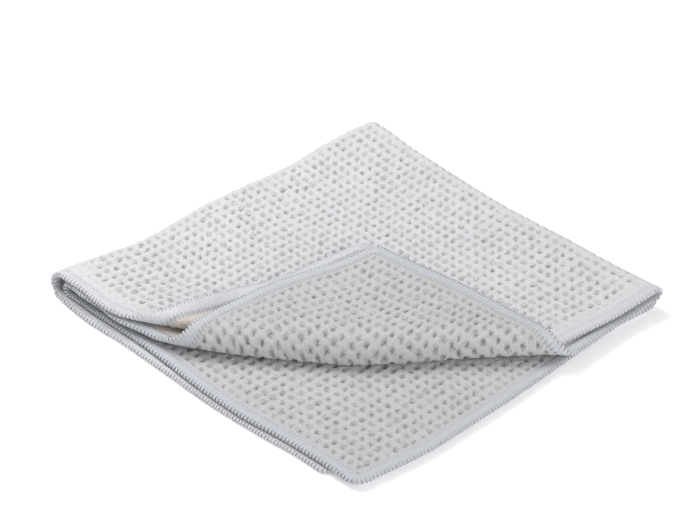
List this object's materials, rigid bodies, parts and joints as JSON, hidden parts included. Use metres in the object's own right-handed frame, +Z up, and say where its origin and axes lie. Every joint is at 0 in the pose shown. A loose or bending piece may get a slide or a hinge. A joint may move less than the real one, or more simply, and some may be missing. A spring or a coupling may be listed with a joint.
{
  "type": "folded dish towel",
  "caption": "White waffle-weave dish towel with an overlocked edge, folded in quarters, the front corner of its top layers turned back.",
  "frame": {"origin": "middle of the folded towel's box, on the surface that it lies on", "axes": "+Z up; the folded towel's sides run along X and Y, its open front corner points to +X -Y"},
  "size_m": [0.2084, 0.2026, 0.0197],
  "materials": {
    "cloth": "soft matt waffle weave"
  },
  "bodies": {
    "root": {"towel": "cloth"}
  },
  "joints": []
}
